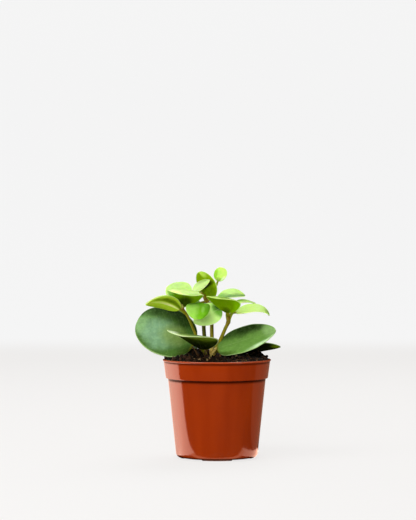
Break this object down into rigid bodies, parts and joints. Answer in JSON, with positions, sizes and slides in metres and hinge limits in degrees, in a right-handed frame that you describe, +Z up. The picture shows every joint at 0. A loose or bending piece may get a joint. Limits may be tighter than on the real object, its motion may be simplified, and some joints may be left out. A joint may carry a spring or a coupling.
{
  "type": "potted peperomia",
  "caption": "Young peperomia in a terracotta-coloured plastic nursery pot of compost: slim stems, broad waxy old leaves low round the rim and pale young leaves above.",
  "frame": {"origin": "middle of the pot's flat underside, on the surface that it stands on", "axes": "+Z up; the plant's front, the side that the picture shows, faces -Y, and +X is to the right seen from the front"},
  "size_m": [0.1436, 0.1132, 0.186],
  "materials": {
    "pot_plastic": "smooth injection-moulded polypropylene, glossy, terracotta orange-brown",
    "compost": "moist dark peat compost with crumbs and fibres",
    "stem": "smooth succulent stem, olive, reddish brown at the nodes",
    "old_leaf": "waxy, dark bluish green above, olive beneath, pale at the margin",
    "grown_leaf": "waxy, mid green above, olive green beneath",
    "young_leaf": "waxy, pale lime green, light through the blade"
  },
  "bodies": {
    "root": {"pot": "pot_plastic", "soil": "compost", "stem_left": "stem", "stem_middle": "stem", "stem_right": "stem", "stem_back": "stem", "stem_stub": "stem", "leaf_low_left": "old_leaf", "leaf_low_front": "old_leaf", "leaf_low_right": "old_leaf", "leaf_low_far": "old_leaf", "leaf_low_back": "old_leaf", "leaf_low_behind": "old_leaf", "leaf_left_side": "grown_leaf", "leaf_left_back": "young_leaf", "leaf_left_front": "young_leaf", "leaf_middle_front": "grown_leaf", "leaf_middle_low": "young_leaf", "leaf_right_front": "grown_leaf", "leaf_right_side": "young_leaf", "leaf_right_far": "young_leaf", "leaf_right_back": "young_leaf", "leaf_back_left": "grown_leaf", "leaf_back_right": "grown_leaf", "leaf_top_back": "grown_leaf", "leaf_top_front": "young_leaf", "leaf_top": "young_leaf"}
  },
  "joints": []
}
